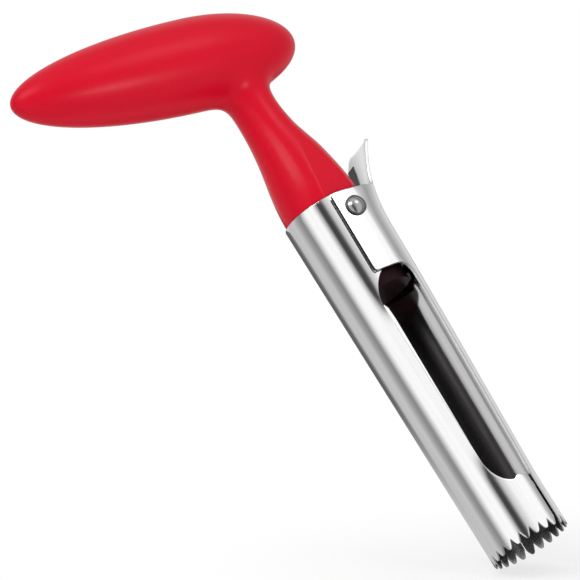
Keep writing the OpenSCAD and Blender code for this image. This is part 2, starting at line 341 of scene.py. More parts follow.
def mouth_grind(z):
    """Depth taken off the inside of the sheet near the mouth."""
    step = mouth_cut * smooth_step(mouth_h + mouth_ease, mouth_h - mouth_ease, z)
    return step + edge_grind * (1 - smooth_step(0, edge_grind_h, z))


def tube_grid(radius):
    """Points of one face of the tube, with the edges of the back strip left a little flat by the rolls."""
    off = np.clip(back_turn + flat_span - np.abs(turns), 0, flat_span)
    beside = smooth_step(flat_low, flat_low_full, levels) * smooth_step(flat_high, flat_high_full, levels)
    radius = radius + beside * tube_r * (1 / np.cos(off) - 1)
    return np.stack([radius * np.cos(turns), radius * np.sin(turns), levels], -1)


def is_ground(face):
    """Whether a face of a blade takes the mouth's grinding finish: the inside of the mouth and the rims of
    the teeth, which are also painted darker as painted shade.
    """
    height = mouth_h if face.material_index == inside else tooth_h
    return face.material_index > outside and face.center.z < height


wider = np.maximum(columns_x, np.roll(columns_x, -1)) - hair
slot_reach = np.maximum(np.abs(turns), np.abs(np.roll(turns, -1))) - hair
cells = np.ones((len(levels) - 1, len(turns)), bool)
cells[:mouth_rows] = wider < seam_x
cells[mouth_rows : mouth_rows + side_rows] = wider < back_x
cells[-slot_rows:] = slot_reach > leaf_slot_turn
fixed_blade = sheet_mesh(
    "coring_tube", tube_grid(tube_r), tube_grid(tube_r - sheet_t + mouth_grind(levels)), cells, closed=True
)
for finish in (blade_steel, inner_shade_steel, cut_steel, rim_edge_shade_steel, ground_shade_steel):
    fixed_blade.data.materials.append(finish)
for face in fixed_blade.data.polygons:
    if is_ground(face):
        face.material_index = ground_shaded
    # Rims between the top of the window and the slot take the near-black inside steel, as painted shade.
    elif face.material_index > inside and arch_z - arch_h < face.center.z < leaf_slot_z:
        face.material_index = inside
drill_pivot(fixed_blade)
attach(fixed_blade, "handle")
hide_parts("fixed_blade")

# Release blade: the other half of the tube, one stamping that leans out a little towards the top.
# Its mouth carries the rest of the teeth, its strip widens into two flat ears on the pivot rivet,
# and above them it is bent outwards as a thumb tab.
lean, lean_bend = math.radians(1.5), 4 * mm
near_gap, far_gap = 1.05 * mm, 0.2 * mm
near_lip_x, far_lip_x = seam_x + near_gap, seam_x + far_gap
near_lip_turn, far_lip_turn = math.acos(near_lip_x / tube_r), math.acos(far_lip_x / tube_r)
lip_h = 9 * mm
strip_turn = math.radians(55.5)
strip_edge_x = tube_r * math.cos(strip_turn)
ear_r = 12.6 * mm
ear_low, ear_high = 68.6 * mm, 93.3 * mm
ear_back, ear_corner = 5.4 * mm, 1.2 * mm
ear_fillet_x = 3.406 * mm
ear_fillet_w, ear_fillet_h = 4 * mm, 8 * mm
ear_bend = 3 * mm
tab_half, tab_tip_half = 7.5 * mm, 6.5 * mm
tab_h = 13.5 * mm
tab_root, tab_corner = 2 * mm, 0.8 * mm
tab_from = ear_high - 12.8 * mm
tab_curl, tab_kick = 0.0058 / mm, 0.000175 / mm**2
tab_turn = math.asin(tab_half / ear_r)
curl_end_turn = 1.3
strip_rows, ear_rows, tab_rows = 16, 18, 16
blade_column_gap = math.radians(0.9)
shadowed_edge_w, shadowed_edge_facing = 0.3 * mm, -0.3
shadowed_edge = ground_shaded + 1


def eased(value, bend):
    """A ramp from nought that starts over a bend instead of a corner."""
    value = np.asarray(value, float)
    in_bend = (np.clip(value, -bend, bend) + bend) ** 2 / (4 * bend)
    return np.where(value < -bend, 0, np.where(value > bend, value, in_bend))


def blade_face(turn, back, height):
    """Points of the outer face, by turn round the blade, an ear's reach back and height above the band."""
    widening = eased(height, lean_bend) - eased(height - ear_low, ear_bend)
    cone = tube_r + (ear_r - tube_r) / ear_low * widening
    over = np.maximum(0, height - tab_from)
    front = 1 - smooth_step(tab_turn, curl_end_turn, np.abs(turn))
    radius = cone + front * (tab_curl * over**2 + tab_kick * over**3)
    up_tab = np.clip((height - ear_high - tab_root) / (tab_h - tab_root), 0, 1)
    y = cone * np.sin(turn) * (1 - (1 - tab_tip_half / tab_half) * up_tab)
    out = np.sign(np.cos(turn)) * np.sqrt(np.maximum(0, radius**2 - y**2)) - back
    tilt = lean * np.clip((height + lean_bend) / (2 * lean_bend), 0, 1)
    x = eased(height, lean_bend) * math.sin(lean) + out * np.cos(tilt)
    z = band_h + height - out * np.sin(tilt)
    return np.stack([x, y, z], -1)


def blade_normal(turn, back, height):
    """Directions straight out of the outer face."""
    step = 0.01 * mm
    side = np.sign(turn) * step * (np.abs(back) > 0)
    swing = np.where(np.abs(back) > 0, 0, step / tube_r)
    across = blade_face(turn + swing, back + side, height) - blade_face(turn - swing, back - side, height)
    along = blade_face(turn, back, height + step) - blade_face(turn, back, height - step)
    normal = np.cross(across, along)
    return normal / np.linalg.norm(normal, axis=-1, keepdims=True)


quarter = np.linspace(0, half_pi, 8)
near_lip_cuts = np.arccos((near_lip_x + (strip_edge_x - near_lip_x) * np.cos(quarter)) / tube_r)
far_lip_cuts = np.arccos((far_lip_x + (strip_edge_x - far_lip_x) * np.cos(quarter)) / tube_r)
fillet_cuts = np.arccos((ear_fillet_x + ear_fillet_w * np.sin(quarter)) / ear_r)
root_cuts = np.arcsin((tab_half + tab_root * (1 - np.cos(quarter))) / ear_r)
tip_share = 1 - tab_corner / tab_tip_half * (1 - np.sin(quarter))
tip_cuts = np.arcsin(tip_share * tab_half / ear_r)
cuts = np.concatenate([root_cuts, tip_cuts, fillet_cuts[fillet_cuts > strip_turn]])
front_turns = [t for t in tooth_turns if abs(t) < half_pi]
arc = settle_columns(
    [far_lip_turn, -near_lip_turn, strip_turn, -strip_turn, tab_turn, -tab_turn, half_pi, -half_pi],
    [*far_lip_cuts, *-near_lip_cuts, *cuts, *-cuts, *front_turns],
    blade_column_gap,
)
ear_straight = np.linspace(0, ear_back - ear_corner, 5)[1:]
ear_columns = np.concatenate([ear_straight, ear_back - ear_corner * (1 - np.sin(quarter[1:]))])
ear_turn = np.full(len(ear_columns), half_pi)
column_turn = np.concatenate([-ear_turn, arc, ear_turn])
column_back = np.concatenate([ear_columns[::-1], np.zeros(len(arc)), ear_columns])
column_x = ear_r * np.cos(column_turn)
column_y = ear_r * np.abs(np.sin(column_turn))
lip_w = strip_edge_x - np.where(column_turn < 0, near_lip_x, far_lip_x)
mouth_top = -round_corner(-tube_r * np.cos(column_turn), -strip_edge_x, -lip_h, lip_w, lip_h)
mouth_top = np.where(np.abs(column_turn) > strip_turn, mouth_top, lip_h)
corner_left = np.maximum(0, ear_corner - (ear_back - column_back))
corner_drop = ear_corner - np.sqrt(np.maximum(0, ear_corner**2 - corner_left**2))
fillet_share = np.clip((column_x - ear_fillet_x) / ear_fillet_w, 0, 1)
ear_bottom = ear_low - ear_fillet_h * (1 - np.sqrt(1 - fillet_share**2)) + corner_drop
ear_bottom = np.where(np.abs(column_turn) <= strip_turn + hair, ear_low - ear_fillet_h, ear_bottom)
root_left = np.clip(tab_half + tab_root - column_y, 0, tab_root)
ear_top = ear_high - corner_drop + tab_root - np.sqrt(tab_root**2 - root_left**2)
tab_over = np.maximum(0, np.minimum(1, column_y / tab_half) * tab_tip_half - (tab_tip_half - tab_corner))
tab_top = ear_high + tab_h - tab_corner + np.sqrt(np.maximum(0, tab_corner**2 - tab_over**2))
heights = np.concatenate(
    [
        mouth_levels(tooth_edge(column_turn), band_h + mouth_top) - band_h,
        mouth_top + (ear_bottom - mouth_top) * shares(strip_rows)[1:-1],
        ear_bottom + (ear_top - ear_bottom) * shares(ear_rows),
        ear_top + (tab_top - ear_top) * shares(tab_rows)[1:],
    ]
)
grid_turn = column_turn + 0 * heights
grid_back = column_back + 0 * heights
outer = blade_face(grid_turn, grid_back, heights)
thick = sheet_t - mouth_grind(band_h + heights)
inner = outer - thick[..., None] * blade_normal(grid_turn, grid_back, heights)
reach = np.maximum(np.abs(column_turn[:-1]), np.abs(column_turn[1:])) - hair
in_lip = np.abs(column_turn) < np.where(column_turn < 0, near_lip_turn, far_lip_turn) + hair
strip_at, ear_at, tab_at, blade_rows = np.cumsum([mouth_rows, strip_rows, ear_rows, tab_rows])
cells = np.ones((blade_rows, len(column_turn) - 1), bool)
cells[:strip_at] = in_lip[:-1] & in_lip[1:]
cells[strip_at:ear_at] = reach < strip_turn
cells[tab_at:] = reach < tab_turn
release_blade = sheet_mesh("release_blade_sheet", outer, inner, cells)
# The ears' free ends and the rims facing the tube are painted near black, as painted shadow in the gaps
# beside them.
edge_shadow_steel = polished_steel("edge_shadow_steel", (0.03, 0.03, 0.03), (400, 2500, 400), 0.35, 0.5, 0.003 * mm)
for finish in (blade_steel, blade_steel, cut_steel, rim_edge_shade_steel, ground_shade_steel, edge_shadow_steel):
    release_blade.data.materials.append(finish)
for face in release_blade.data.polygons:
    faces_tube = face.material_index > inside and face.normal.x < shadowed_edge_facing
    upright_x = face.center.x - (face.center.z - band_h) * math.tan(lean)
    if is_ground(face):
        face.material_index = ground_shaded
    # Rims facing the tube at the seam and the ears' free ends get the painted shadow steel.
    elif faces_tube and (face.center.x < 0 or face.center.z < band_h):
        face.material_index = shadowed_edge
    elif upright_x < shadowed_edge_w - ear_back:
        face.material_index = shadowed_edge
drill_pivot(release_blade)
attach(release_blade, "release")
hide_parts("release_blade")

# Return spring: a short leaf of dark spring steel, held between plug and tube.
# It comes out through a notch in the rim and bends outwards behind the thumb tab, to push it back.
leaf_low, leaf_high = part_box("return_spring")
leaf_half, leaf_t = leaf_high.y, 0.4 * mm
leaf_bend_z = 104 * mm
leaf_end_gap = 0.15 * mm
leaf_first_slope = 1.6
leaf_rows, leaf_columns = 40, 8
leaf_reach = leaf_high.x - leaf_low.x - leaf_t
leaf_z = np.linspace(leaf_low.z, leaf_high.z - leaf_end_gap, leaf_rows + 1)
leaf_share = np.maximum(0, leaf_z - leaf_bend_z) / (leaf_high.z - leaf_bend_z)
leaf_x = leaf_low.x + leaf_reach * leaf_share * (leaf_first_slope - (leaf_first_slope - 1) * leaf_share)
leaf_y = np.linspace(-leaf_half, leaf_half, leaf_columns + 1)
path = np.stack([leaf_x, leaf_z], -1)
run = np.gradient(path, axis=0)
run /= np.linalg.norm(run, axis=1, keepdims=True)
leaf_sides = []
for offset in (leaf_t, 0):
    x = path[:, :1] + offset * run[:, 1:] + 0 * leaf_y
    z = path[:, 1:] - offset * run[:, :1] + 0 * leaf_y
    leaf_sides.append(np.stack([x, leaf_y + 0 * x, z], -1))
spring_leaf = sheet_mesh("spring_leaf", *leaf_sides, np.ones((leaf_rows, leaf_columns), bool))
dark_spring = polished_steel("dark_spring_steel", (0.1, 0.1, 0.105), (900, 900, 40), 0.28, 0.42, 0.001 * mm)
for _ in (outside, inside, cut_rim, rim_edge):
    spring_leaf.data.materials.append(dark_spring)
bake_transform(spring_leaf)
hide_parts("return_spring")

# Pivot rivet: a hollow barrel and a solid stud, pressed into each other across the tube.
# Both have low domed heads, turned from stainless rod, and clamp a thin washer on each ear.
head_d, head_h, dome_steps = 5 * mm, 1.2 * mm, 16
washer_d, washer_t, washer_ease = 6 * mm, 0.4 * mm, 0.08 * mm
washer_y = ear_r + 0.1 * mm
head_y = washer_y + washer_t
barrel_r, stud_r = barrel_d / 2, 1.8 * mm / 2
stud_reach, stud_chamfer = 10 * mm, 0.15 * mm
bore_spare = 0.5 * mm
lathe_steps = 64
lathe_sharp = math.radians(35)


def face_outwards(mesh, sharp_angle):
    """Turn the faces of a closed mesh outwards, smooth, with crisp edges from an angle up."""
    shell = bmesh.new()
    shell.from_mesh(mesh)
    bmesh.ops.recalc_face_normals(shell, faces=shell.faces)
    shell.to_mesh(mesh)
    shell.free()
    mesh.polygons.foreach_set("use_smooth", [True] * len(mesh.polygons))
    mesh.set_sharp_from_angle(angle=sharp_angle)


def turned(name, profiles, finish):
    """A turned piece about the pivot's axis, from profiles of (radius, distance along Y)."""
    angles = np.arange(lathe_steps) * 2 * math.pi / lathe_steps
    points, faces = [], []
    for profile in profiles:
        rings = []
        for radius, y in profile:
            start = len(points)
            if radius == 0:
                rings.append([start] * lathe_steps)
                points.append((pivot.x, y, pivot.z))
            else:
                rings.append(list(range(start, start + lathe_steps)))
                for a in angles:
                    points.append((pivot.x + radius * math.cos(a), y, pivot.z + radius * math.sin(a)))
        if profile[0][0] > 0:
            rings.append(rings[0])
        for lower, upper in zip(rings, rings[1:]):
            faces += [list(dict.fromkeys(face)) for face in bridge(lower, upper)]
    mesh = bpy.data.meshes.new(name)
    mesh.from_pydata(points, [], faces)
    mesh.materials.append(finish)
    face_outwards(mesh, lathe_sharp)
    piece = put_in_scene(name, mesh)
    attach(piece, "handle")
    return piece


def domed_head(base, side):
    """Profile of a low domed rivet head from its rim to its middle, standing on base towards side."""
    r = head_d / 2
    ball = (r**2 + head_h**2) / (2 * head_h)
    lean_in = math.asin(r / ball)
    profile = []
    for k in range(dome_steps):
        a = lean_in * (1 - k / dome_steps)
        profile.append((ball * math.sin(a), base + side * (head_h - ball * (1 - math.cos(a)))))
    return profile + [(0, base + side * head_h)]


rivet_steel = polished_steel("rivet_steel", (0.42, 0.42, 0.43), (700, 4000, 700), 0.18, 0.26, 0.0008 * mm)
stud_end = stud_reach - head_y
stud_profile = [(0, stud_end), (stud_r - stud_chamfer, stud_end), (stud_r, stud_end - stud_chamfer)]
stud_profile += [(stud_r, -head_y), *domed_head(-head_y, -1)]
rivet_stud = turned("rivet_stud_turned", [stud_profile], rivet_steel)
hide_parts("rivet_stud")
bore_r = stud_r + running_gap
barrel_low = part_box("rivet_barrel")[0].y
bore_end = barrel_low + (stud_reach + bore_spare)
barrel_profile = [(0, bore_end), (bore_r, bore_end), (bore_r, barrel_low), (barrel_r, barrel_low)]
barrel_profile += [(barrel_r, head_y), *domed_head(head_y, 1)]
rivet_barrel = turned("rivet_barrel_turned", [barrel_profile], rivet_steel)
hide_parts("rivet_barrel")
washer_r = washer_d / 2
washer_profiles = []
for side in (-1, 1):
    low, high = side * washer_y, side * head_y
    ring = [(hole_r, low), (washer_r - washer_ease, low), (washer_r, low + side * washer_ease)]
    ring += [(washer_r, high - side * washer_ease), (washer_r - washer_ease, high), (hole_r, high)]
    washer_profiles.append(ring)
# The washers are painted near black, as painted shadow round the rivet heads.
washer_shade_steel = polished_steel(
    "washer_steel_painted_shadow", (0.07, 0.07, 0.075), (900, 900, 900), 0.3, 0.42, 0.002 * mm
)
rivet_washers = turned("rivet_washers_turned", washer_profiles, washer_shade_steel)
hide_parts("rivet_washers")

# Handle core: the rigid plastic moulding inside the skin, its red painted very dark as painted shade deep in
# the tube.
# Only the end of its plug shows, deep in the top of the window, where it closes the coring tube.
rigid_red_shaded, tree, output = new_finish("rigid_red_plastic_painted_shade")
place = grow_node(tree, "ShaderNodeTexCoord").outputs["Object"]
flow = grow_node(tree, "ShaderNodeTexNoise", [(place, "Vector")], Scale=700.0, Detail=4.0).outputs["Fac"]
rough = grow_node(tree, "ShaderNodeMapRange", [(flow, "Value")], To_Min=0.4, To_Max=0.55)
bump = grow_node(tree, "ShaderNodeBump", [(flow, "Height")], Strength=1.0, Distance=0.004 * mm)
shade = grow_node(
    tree,
    "ShaderNodeBsdfPrincipled",
    [(rough.outputs[0], "Roughness"), (bump.outputs[0], "Normal")],
    Base_Color=(0.016, 0.004, 0.005, 1),
    Specular_IOR_Level=0.08,
)
tree.links.new(shade.outputs[0], output.inputs["Surface"])
core = frame["nodes"]["handle_core"]
core.data.materials.clear()
core.data.materials.append(rigid_red_shaded)

# Handle skin: soft-touch red rubber moulded over the core in one piece.
# An egg lies across the top, blunt end over the tab, and a waisted neck runs down to the tube's rim.
# Two flats run up the sides of the neck from the rim, each with one crisp edge behind, and fade out.
grip_len, grip_r, grip_wide = 89.25 * mm, 13.145 * mm, 32.8 * mm
grip_tilt = math.radians(8.5)
grip_at = np.array([21.5, 0, 158.5]) * mm
grip_run = np.array([-math.cos(grip_tilt), 0, math.sin(grip_tilt)])
grip_under = np.array([-math.sin(grip_tilt), 0, -math.cos(grip_tilt)])
neck_rim, neck_waist, neck_h = 10.8 * mm, 6.45 * mm, 34.5 * mm
neck_sway, sway_from, sway_to = 0.9 * mm, 15 * mm, 35 * mm
neck_end = 47 * mm
flat_turn = math.radians(10)
flat_depth, flat_h, flat_edge = 1.3 * mm, 17 * mm, 0.15 * mm
nose_reach, nose_h = 2.8 * mm, 25 * mm
nose_blend, least_blend = 1.25, 0.01 * mm
join_round = 7 * mm
rim_round, rim_steps = 0.5 * mm, 6
skin_sharp = math.radians(50)


def blend_min(a, b, width):
    """The lesser of two distances, with a rounded join of about the width."""
    step = np.maximum(width - np.abs(a - b), 0) / width
    return np.minimum(a, b) - step**3 * width / 6


def neck_sizes(up):
    """Radius of the neck and distance of its flats from the axis, by height above the rim."""
    radius = neck_waist + (neck_rim - neck_waist) * (0.5 + 0.5 * np.cos(math.pi * np.clip(up / neck_h, 0, 1)))
    return radius, radius - flat_depth * (1 - up / flat_h)


def skin_field(points):
    """Rough distance outside the skin: negative inside, nought on the surface."""
    out = points - grip_at
    along = out @ grip_run
    across = np.linalg.norm(out - along[:, None] * grip_run, axis=1)
    half = np.where(along < grip_wide, grip_wide, grip_len - grip_wide)
    size = np.sqrt(((along - grip_wide) / half) ** 2 + (across / grip_r) ** 2)
    slope = np.sqrt(((along - grip_wide) / half**2) ** 2 + (across / grip_r**2) ** 2)
    egg = (size - 1) * size / np.maximum(slope, 1e-6)
    up = points[:, 2] - tube_h
    radius, flat_at = neck_sizes(up)
    x = points[:, 0] + neck_sway * smooth_step(sway_from, sway_to, up)
    y = np.abs(points[:, 1])
    nose_x = nose_reach * np.clip(1 - up / nose_h, 0, 1)
    nose_r = np.minimum(flat_at, radius) - nose_x * math.sin(flat_turn)
    nose = np.hypot(x - nose_x, y) - nose_r
    body = blend_min(np.hypot(x, y) - radius, nose, nose_blend * nose_x + least_blend)
    flat = x * math.sin(flat_turn) + y * math.cos(flat_turn) - flat_at
    neck = -blend_min(-body, -flat, flat_edge)
    neck = np.maximum(neck, up - neck_end)
    return blend_min(egg, neck, join_round)


def on_skin(points, steps=6):
    """Points moved onto the skin along the field's slope."""
    points = points.copy()
    nudge = 0.01 * mm
    for _ in range(steps):
        value = skin_field(points)
        rises = [skin_field(points + nudge * axis) - skin_field(points - nudge * axis) for axis in np.eye(3)]
        slope = np.stack(rises, -1) / (2 * nudge)
        points -= (value / np.maximum((slope**2).sum(1), 1e-4))[:, None] * slope
    return points


# The egg: rings from its blunt end to its slim one, left open underneath where the neck joins it.
blunt_rows, long_rows, grip_columns = 80, 96, 160
patch_from, patch_to, patch_columns = 36, 78, 20
blunt_turn = np.linspace(0, half_pi, blunt_rows + 1)
long_turn = np.linspace(0, half_pi, long_rows + 1)[1:]
stations = np.concatenate(
    [grip_wide * (1 - np.cos(blunt_turn)), grip_wide + (grip_len - grip_wide) * np.sin(long_turn)]
)
row_count = len(stations) - 1
half_lengths = np.where(stations < grip_wide, grip_wide, grip_len - grip_wide)
widths = grip_r * np.sqrt(np.maximum(0, 1 - ((stations - grip_wide) / half_lengths) ** 2))
grip_angles = (np.arange(grip_columns) - grip_columns // 2) * 2 * math.pi / grip_columns
side_way = np.array([0, 1, 0])
around = np.cos(grip_angles)[:, None] * grip_under + np.sin(grip_angles)[:, None] * side_way
rings = grip_at + stations[1:-1, None, None] * grip_run + widths[1:-1, None, None] * around
points = np.array([grip_at, grip_at + grip_len * grip_run, *rings.reshape(-1, 3)])


def grip_vertex(row, column):
    """Number of the egg's point in a row and column."""
    return 2 + (row - 1) * grip_columns + column % grip_columns


faces = []
low_column, high_column = grip_columns // 2 - patch_columns, grip_columns // 2 + patch_columns
for column in range(grip_columns):
    faces.append([0, grip_vertex(1, column + 1), grip_vertex(1, column)])
    faces.append([1, grip_vertex(row_count - 1, column), grip_vertex(row_count - 1, column + 1)])
    for row in range(1, row_count - 1):
        if patch_from <= row < patch_to and low_column <= column < high_column:
            continue
        corners = [(row, column), (row, column + 1), (row + 1, column + 1), (row + 1, column)]
        faces.append([grip_vertex(*corner) for corner in corners])
border = [grip_vertex(row, low_column) for row in range(patch_from, patch_to)]
border += [grip_vertex(patch_to, column) for column in range(low_column, high_column)]
border += [grip_vertex(row, high_column) for row in range(patch_to, patch_from, -1)]
border += [grip_vertex(patch_from, column) for column in range(high_column, low_column, -1)]

# The neck: rings from the rim up to that opening, with one column kept on the crisp edge of each flat.
neck_rows, join_rows = 70, 16
neck_top = tube_h + 32 * mm
twist_from, twist_to = 0.2, 1.3
crease_turn, crease_pull, crease_fade = 1.9, 1.2, 0.55
border_points = points[border]
border_turn = np.unwrap(np.arctan2(border_points[:, 1], border_points[:, 0]))
way_round = np.sign(border_turn[-1] - border_turn[0])
even_turn = way_round * np.arange(len(border)) * 2 * math.pi / len(border)
even_turn += np.mean(border_turn - even_turn)
neck_rings = []
for k in range(neck_rows + 1):
    part = k / neck_rows
    mixed_turn = even_turn + (border_turn - even_turn) * float(smooth_step(twist_from, twist_to, part))
    z = tube_h + rim_round + (neck_top - tube_h - rim_round) * part
    radius, flat_at = neck_sizes(z - tube_h)
    edge_turn = math.pi / 2 - flat_turn + math.acos(min(1, flat_at / radius))
    for side in (-1, 1):
        off = (even_turn - side * crease_turn + math.pi) % (2 * math.pi) - math.pi
        nearest = np.argmin(np.abs(off))
        shift = side * edge_turn - side * crease_turn - off[nearest]
        shift *= 1 - float(smooth_step(crease_fade, 1, part))
        from_crease = np.minimum(1, np.abs(off - off[nearest]) / crease_pull)
        mixed_turn = mixed_turn + shift * (0.5 + 0.5 * np.cos(math.pi * from_crease))
    ring = np.stack([radius * np.cos(mixed_turn), radius * np.sin(mixed_turn), 0 * mixed_turn + z], -1)
    neck_rings.append(ring)
for k in range(1, join_rows):
    part = k / join_rows
    neck_rings.append(neck_rings[neck_rows] * (1 - part) + border_points * part)
columns = len(border)
loops = []
for k in range(len(neck_rings)):
    start = len(points) + k * columns
    loops.append(list(range(start, start + columns)))
loops.append(border)
points = on_skin(np.concatenate([points, *neck_rings]))
for lower, upper in zip(loops, loops[1:]):
    faces += bridge(lower, upper)

# The join: its points are evened out and put back on the skin, in turns.
join_passes, join_evenings, join_steps = 10, 4, 3
join_low, join_r = neck_top - 8 * mm, 20 * mm
edges = np.concatenate([np.stack([np.array(face), np.roll(face, -1)], -1) for face in faces])
edges = np.unique(np.sort(edges, axis=1), axis=0)
counts = np.maximum(1, np.bincount(edges.ravel(), minlength=len(points)))
near_join = (points[:, 2] > join_low) & (np.hypot(points[:, 0], points[:, 1]) < join_r)
near_join &= points[:, 2] < tube_h + neck_end
for _ in range(join_passes):
    for _ in range(join_evenings):
        total = np.zeros_like(points)
        np.add.at(total, edges[:, 0], points[edges[:, 1]])
        np.add.at(total, edges[:, 1], points[edges[:, 0]])
        middle = total / counts[:, None]
        points[near_join] += 0.5 * (middle - points)[near_join]
    points[near_join] = on_skin(points[near_join], join_steps)

# The rim: a small rounding down to the flat end that sits on the tube.
rim = points[loops[0]]
rim_out = rim[:, :2] / np.linalg.norm(rim[:, :2], axis=1, keepdims=True)
last = loops[0]
for k in range(1, rim_steps + 1):
    a = half_pi * k / rim_steps
    ring = rim.copy()
    ring[:, :2] -= rim_out * rim_round * (1 - math.cos(a))
    ring[:, 2] -= rim_round * math.sin(a)
    loop = list(range(len(points), len(points) + columns))
    points = np.concatenate([points, ring])
    faces += bridge(loop, last)
    last = loop
faces.append(last[::-1])
mesh = bpy.data.meshes.new("grip_skin_moulded")
used = np.unique(np.concatenate(faces))
mesh.from_pydata(points[used].tolist(), [], [np.searchsorted(used, face).tolist() for face in faces])
face_outwards(mesh, skin_sharp)
grip_skin = put_in_scene("grip_skin_moulded", mesh)

soft_red, tree, output = new_finish("soft_red_rubber")
place = grow_node(tree, "ShaderNodeTexCoord").outputs["Object"]
grain = grow_node(
    tree, "ShaderNodeTexNoise", [(place, "Vector")], Scale=2600.0, Detail=2.0, Roughness=0.5
).outputs["Fac"]
cloud = grow_node(tree, "ShaderNodeTexNoise", [(place, "Vector")], Scale=60.0, Detail=3.0).outputs["Fac"]
apart = grow_node(tree, "ShaderNodeSeparateXYZ", [(place, "Vector")])
worn = grow_node(
    tree,
    "ShaderNodeMapRange",
    [(apart.outputs["Z"], "Value")],
    interpolation_type="SMOOTHSTEP",
    From_Min=134 * mm,
    From_Max=150 * mm,
    To_Min=0.2,
    To_Max=0.27,
)
patchy = grow_node(tree, "ShaderNodeMapRange", [(cloud, "Value")], To_Max=0.12)
rough = grow_node(tree, "ShaderNodeMath", [(worn.outputs[0], 0), (patchy.outputs[0], 1)], operation="ADD")
tint = grow_node(tree, "ShaderNodeValToRGB", [(cloud, "Fac")])
tint.color_ramp.elements[0].color = (0.62, 0.0015, 0.018, 1)
tint.color_ramp.elements[1].color = (0.68, 0.002, 0.021, 1)
bump = grow_node(tree, "ShaderNodeBump", [(grain, "Height")], Strength=1.0, Distance=0.006 * mm)
shade = grow_node(
    tree,
    "ShaderNodeBsdfPrincipled",
    [(tint.outputs["Color"], "Base Color"), (rough.outputs[0], "Roughness"), (bump.outputs[0], "Normal")],
    Specular_IOR_Level=0.15,
)
tree.links.new(shade.outputs[0], output.inputs["Surface"])
grip_skin.data.materials.append(soft_red)
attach(grip_skin, "handle")
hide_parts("grip_skin")

# Stage: the tool stands on its teeth on a pale table, tilted towards the camera's upper left.
# A white room with a few dark panels, and a grey card behind the tool, give the steel its long bands.
# Two soft lamps light it all, and a small one from the front lights only the skin.
view_turn, view_rise, view_roll = math.radians(-33), math.radians(-11.5), math.radians(32.06)
view_flat = math.cos(view_rise)
back = Vector((math.sin(view_turn) * view_flat, -math.cos(view_turn) * view_flat, math.sin(view_rise)))
level = Vector((math.cos(view_turn), math.sin(view_turn), 0))
rise = back.cross(level)
screen_right = level * math.cos(view_roll) - rise * math.sin(view_roll)
screen_up = level * math.sin(view_roll) + rise * math.cos(view_roll)
aim = level * (-18.5 * mm) + rise * (93.2 * mm)
camera_away = 2
camera = put_in_scene("camera", bpy.data.cameras.new("camera"))
camera.data.sensor_width = 36
camera.data.lens = 459.3
camera.data.clip_end = 10
camera_at = back * camera_away
camera_back = (camera_at - aim).normalized()
camera_right = screen_up.cross(camera_back).normalized()
camera_up = camera_back.cross(camera_right)
camera_turn = Matrix((camera_right, camera_up, camera_back)).transposed().to_4x4()
camera.matrix_world = Matrix.Translation(camera_at) @ camera_turn
bpy.context.scene.camera = camera

floor_lean, floor_half = math.radians(12), 1.5
floor_up = screen_up * math.cos(floor_lean) + back * math.sin(floor_lean)
floor_depth = floor_up.cross(screen_right)
lowest = min(floor_up.dot(Vector((tube_r * math.cos(a), tube_r * math.sin(a), 0))) for a in tooth_turns)
floor_corners = []
for u, v in ((-1, -1), (1, -1), (1, 1), (-1, 1)):
    floor_corners.append((floor_up * lowest + floor_half * (screen_right * u + floor_depth * v))[:])
floor_mesh = bpy.data.meshes.new("table")
floor_mesh.from_pydata(floor_corners, [], [[0, 1, 2, 3]])
floor = put_in_scene("table", floor_mesh)
white_table, tree, output = new_finish("white_table")
to_camera = grow_node(tree, "ShaderNodeLightPath").outputs["Is Camera Ray"]
facing = grow_node(tree, "ShaderNodeNewGeometry")
away = grow_node(tree, "ShaderNodeVectorMath", [(facing.outputs["Position"], 0)], operation="LENGTH")
fade = grow_node(
    tree,
    "ShaderNodeMapRange",
    [(away.outputs["Value"], "Value")],
    interpolation_type="SMOOTHSTEP",
    From_Min=20 * mm,
    From_Max=100 * mm,
    To_Min=0.72,
    To_Max=1.0,
)
lit = grow_node(tree, "ShaderNodeMath", [(fade.outputs[0], 0), (to_camera, 1)], operation="MULTIPLY")
matt = grow_node(tree, "ShaderNodeBsdfDiffuse", Color=(0.92, 0.92, 0.93, 1))
bright = grow_node(tree, "ShaderNodeEmission", Color=(1, 1, 1, 1), Strength=1.0)
clear = grow_node(tree, "ShaderNodeBsdfTransparent")
top = grow_node(
    tree, "ShaderNodeMixShader", [(lit.outputs[0], 0), (matt.outputs[0], 1), (bright.outputs[0], 2)]
)
both = grow_node(
    tree,
    "ShaderNodeMixShader",
    [(facing.outputs["Backfacing"], 0), (top.outputs[0], 1), (clear.outputs[0], 2)],
)
tree.links.new(both.outputs[0], output.inputs["Surface"])
floor_mesh.materials.append(white_table)
floor.visible_glossy = False

wall_greys = (
    (-180, 0.62),
    (-164, 0.72),
    (-150, 0.8),
    (-136, 0.68),
    (-120, 0.53),
    (-92, 0.58),
    (-76, 0.34),
    (-62, 0.24),
    (-50, 0.75),
    (-42, 1.0),
    (-18, 1.0),
    (-9, 0.55),
    (-1, 0.04),
    (11, 0.05),
    (20, 0.55),
    (40, 0.95),
    (60, 1.0),
    (86, 1.0),
    (98, 0.52),
    (110, 0.34),
    (126, 0.5),
    (146, 0.7),
    (180, 0.6),
)
room = bpy.data.worlds.new("white_room")
bpy.context.scene.world = room
room.use_nodes = True
tree = room.node_tree
tree.nodes.clear()
output = tree.nodes.new("ShaderNodeOutputWorld")
place = grow_node(tree, "ShaderNodeTexCoord").outputs["Generated"]
spun = grow_node(
    tree,
    "ShaderNodeVectorRotate",
    [(place, "Vector")],
    rotation_type="Z_AXIS",
    Angle=math.radians(90) - view_turn,
)
apart = grow_node(tree, "ShaderNodeSeparateXYZ", [(spun.outputs[0], "Vector")])
wall_turn = grow_node(
    tree, "ShaderNodeMath", [(apart.outputs["Y"], 0), (apart.outputs["X"], 1)], operation="ARCTAN2"
)
